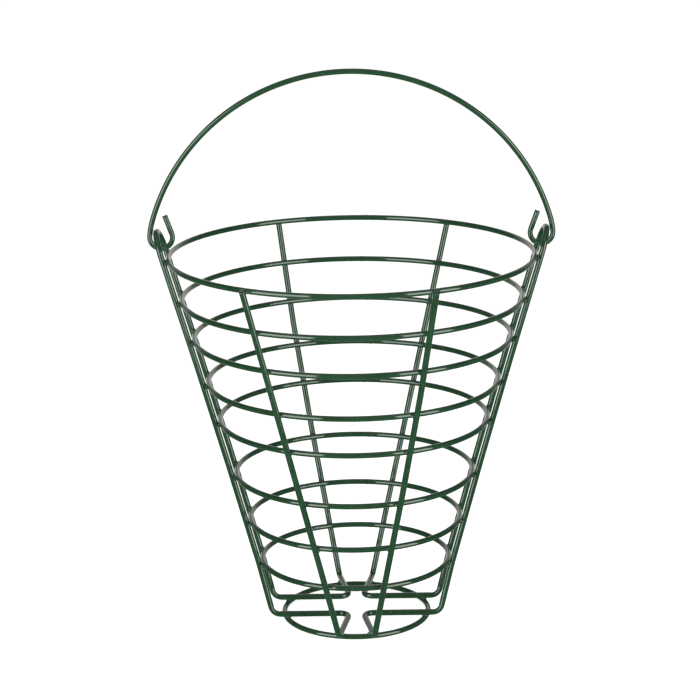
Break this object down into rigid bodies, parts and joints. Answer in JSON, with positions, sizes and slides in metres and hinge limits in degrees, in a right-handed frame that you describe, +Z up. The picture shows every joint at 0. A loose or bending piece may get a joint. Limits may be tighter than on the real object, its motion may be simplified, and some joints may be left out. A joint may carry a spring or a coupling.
{
  "type": "wire basket",
  "caption": "Tapered round open wire basket of welded rings and bent frame wires, with two eyes above the rim and a swinging bail handle hooked through them.",
  "frame": {"origin": "centre of the foot ring at its underside, where the basket stands", "axes": "+Z up, +X through the right eye and hook, -Y to the front"},
  "size_m": [0.3054, 0.2782, 0.4251],
  "materials": {
    "green_coated_wire": "gloss"
  },
  "bodies": {
    "basket": {"rim_ring": "green_coated_wire", "wall_ring_1": "green_coated_wire", "wall_ring_2": "green_coated_wire", "wall_ring_3": "green_coated_wire", "wall_ring_4": "green_coated_wire", "wall_ring_5": "green_coated_wire", "wall_ring_6": "green_coated_wire", "wall_ring_7": "green_coated_wire", "foot_ring": "green_coated_wire", "left_frame_wire": "green_coated_wire", "right_frame_wire": "green_coated_wire"},
    "handle": {"bail_handle": "green_coated_wire"}
  },
  "joints": [
    {"name": "handle_swing", "type": "hinge", "parent": "basket", "child": "handle", "pos_m": [0, 0, 0.29221], "axis": [1, 0, 0], "range_deg": [-90.5, 90.5]}
  ]
}
